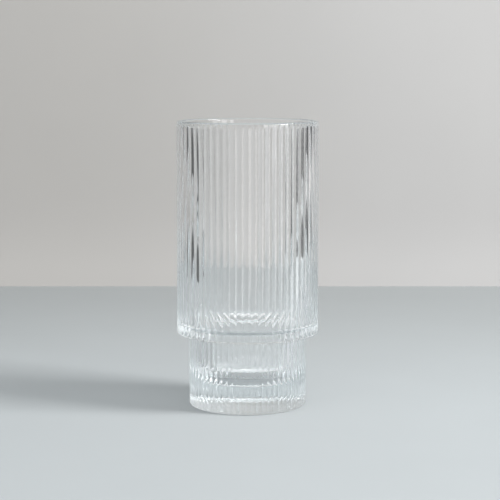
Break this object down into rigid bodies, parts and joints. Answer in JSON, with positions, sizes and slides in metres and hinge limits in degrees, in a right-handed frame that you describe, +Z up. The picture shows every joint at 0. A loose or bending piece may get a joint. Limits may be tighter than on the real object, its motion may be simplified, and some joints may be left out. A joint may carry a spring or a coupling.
{
  "type": "highball glass",
  "caption": "Clear ribbed stacking highball glass: a wide upper cup steps in to a narrower, thick-based lower cup that nests in the mouth of another glass.",
  "frame": {"origin": "centre of the base, on the table that the glass stands on", "axes": "+Z up along the axis of the glass, +X to the right in the picture, -Y towards the viewer"},
  "size_m": [0.07, 0.07, 0.141],
  "materials": {
    "clear_glass": "clear, fire-polished pressed glass with a faint cool tint where it is thick"
  },
  "bodies": {
    "root": {"lip": "clear_glass", "upper_wall": "clear_glass", "step": "clear_glass", "lower_wall": "clear_glass", "base": "clear_glass"}
  },
  "joints": []
}
